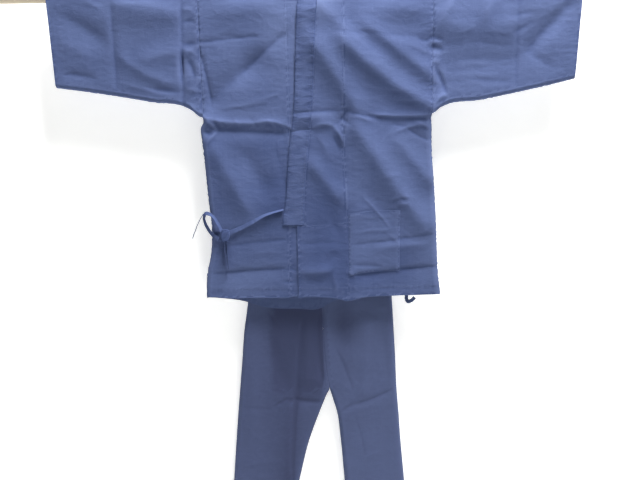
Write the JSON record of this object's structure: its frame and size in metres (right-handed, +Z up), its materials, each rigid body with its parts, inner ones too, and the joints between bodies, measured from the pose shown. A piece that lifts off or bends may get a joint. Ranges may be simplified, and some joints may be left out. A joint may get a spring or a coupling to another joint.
{
  "type": "samue jacket and trousers on a rod",
  "caption": "Indigo cotton samue: wrap jacket tied at the side, with band collar, straight sleeves and patch pocket, over straight trousers, hung flat on a rod.",
  "frame": {"origin": "middle of the rod, on its axis", "axes": "+Z up, -Y out of the garment's front, +X along the rod towards the wearer's left"},
  "size_m": [1.68, 0.0838, 1.712],
  "materials": {
    "jacket_cloth": "plain-weave cotton, washed indigo, with fold creases",
    "trouser_cloth": "plain-weave cotton, darker washed indigo",
    "tie_cloth": "narrow folded cotton tape",
    "rod_wood": "pale tan, matt",
    "hook_steel": "plain flat strip"
  },
  "bodies": {
    "root": {"body_left": "jacket_cloth", "body_right": "jacket_cloth", "okumi_left": "jacket_cloth", "okumi_right": "jacket_cloth", "collar_band": "jacket_cloth", "sleeve_left": "jacket_cloth", "sleeve_right": "jacket_cloth", "pocket": "jacket_cloth", "waistband": "trouser_cloth", "leg_left": "trouser_cloth", "leg_right": "trouser_cloth", "tie_outer": "tie_cloth", "tie_side": "tie_cloth", "tie_knot": "tie_cloth", "tie_loop": "tie_cloth", "tie_end_side": "tie_cloth", "tie_end_short": "tie_cloth", "tie_end_long": "tie_cloth", "tie_inner_left": "tie_cloth", "tie_inner_right": "tie_cloth", "hook_left": "hook_steel", "hook_right": "hook_steel", "rod": "rod_wood"}
  },
  "joints": []
}
